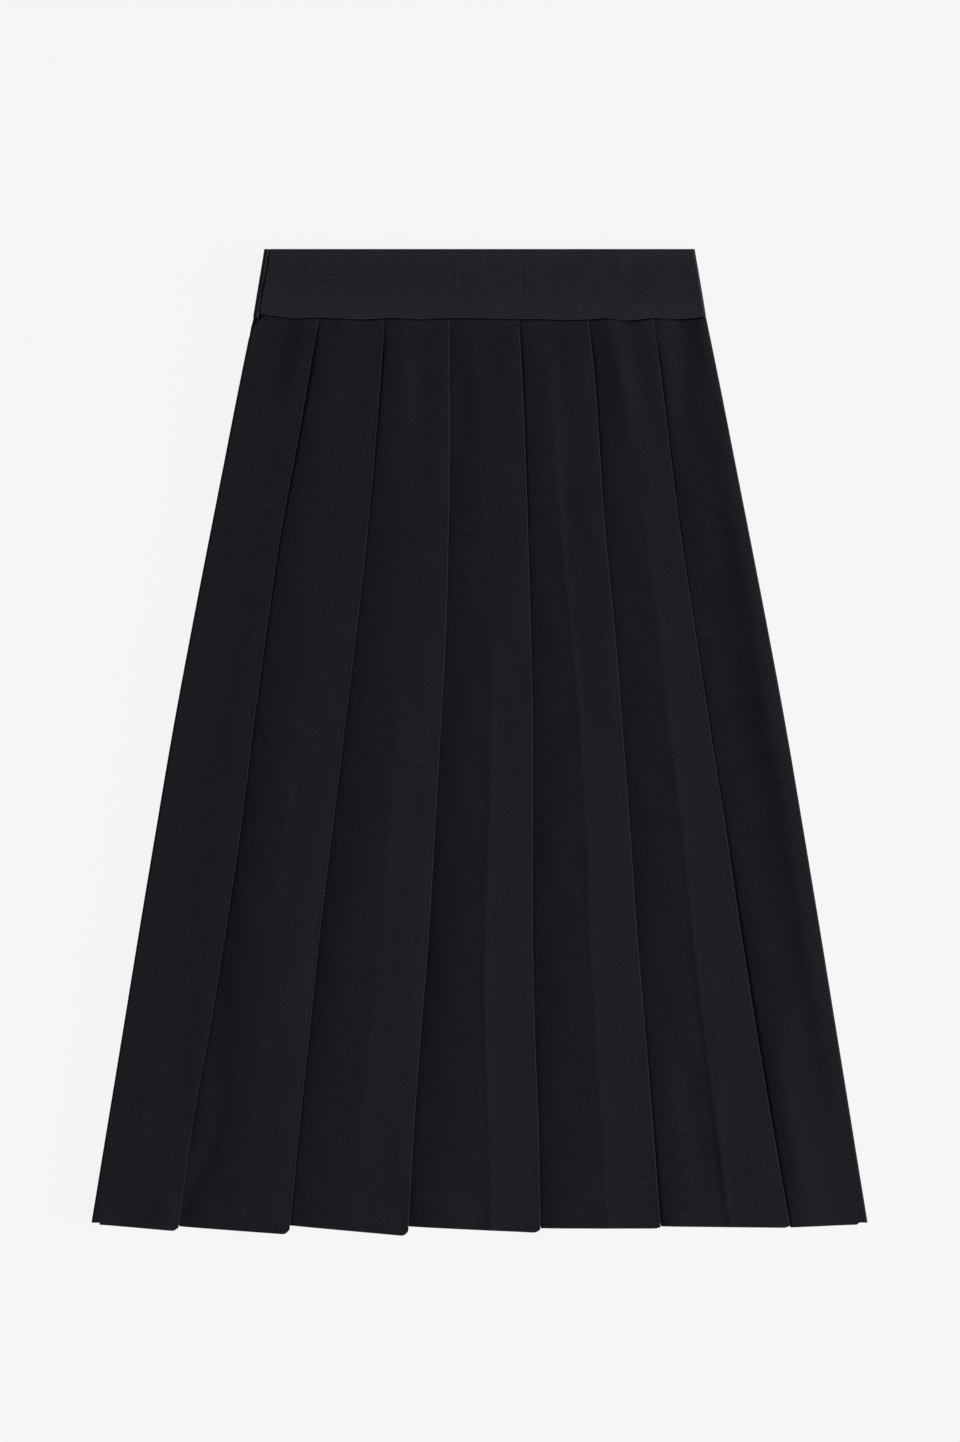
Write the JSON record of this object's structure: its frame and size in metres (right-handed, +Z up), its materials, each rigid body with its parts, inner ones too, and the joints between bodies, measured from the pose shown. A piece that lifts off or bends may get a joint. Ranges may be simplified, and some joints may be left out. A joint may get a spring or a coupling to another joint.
{
  "type": "pleated midi skirt",
  "caption": "Midi skirt with one-way knife pleats and a deep flat waistband, laid flat with its front up on a surface.",
  "frame": {"origin": "middle of the outline, on the surface that the skirt lies on", "axes": "+X across the skirt to the right as its front is seen, +Y from hem to waist, +Z up out of the front"},
  "size_m": [0.6354, 0.8082, 0.0113],
  "materials": {
    "skirt_cloth": "matt near-black plain-weave wool suiting, pleated and pressed",
    "waistband_cloth": "matt near-black wool suiting over a firm interlining, topstitched in matching thread"
  },
  "bodies": {
    "root": {"front_panel": "skirt_cloth", "back_panel": "skirt_cloth", "waistband_front": "waistband_cloth", "waistband_back": "waistband_cloth"}
  },
  "joints": []
}
